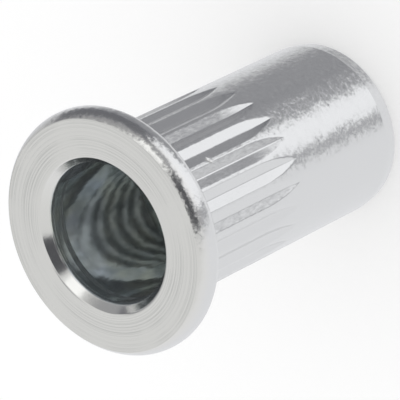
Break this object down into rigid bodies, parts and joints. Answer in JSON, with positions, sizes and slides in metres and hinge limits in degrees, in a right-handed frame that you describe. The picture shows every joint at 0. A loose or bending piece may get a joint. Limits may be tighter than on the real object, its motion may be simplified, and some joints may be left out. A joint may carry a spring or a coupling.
{
  "type": "rivet nut",
  "caption": "Flanged blind rivet nut with a splined shank and a plain threaded tail, set into sheet from one side to give it a strong thread.",
  "frame": {"origin": "centre of the tail end face, on the surface that the nut stands on", "axes": "+Z along the thread axis, out of the mouth in the flange face; one spline groove is centred on +X"},
  "size_m": [0.0126, 0.0126, 0.0178],
  "materials": {
    "zinc_plated_steel": "bright zinc plating over turned steel, with fine turning rings on the flange face"
  },
  "bodies": {
    "root": {"rivet_nut": "zinc_plated_steel"}
  },
  "joints": []
}
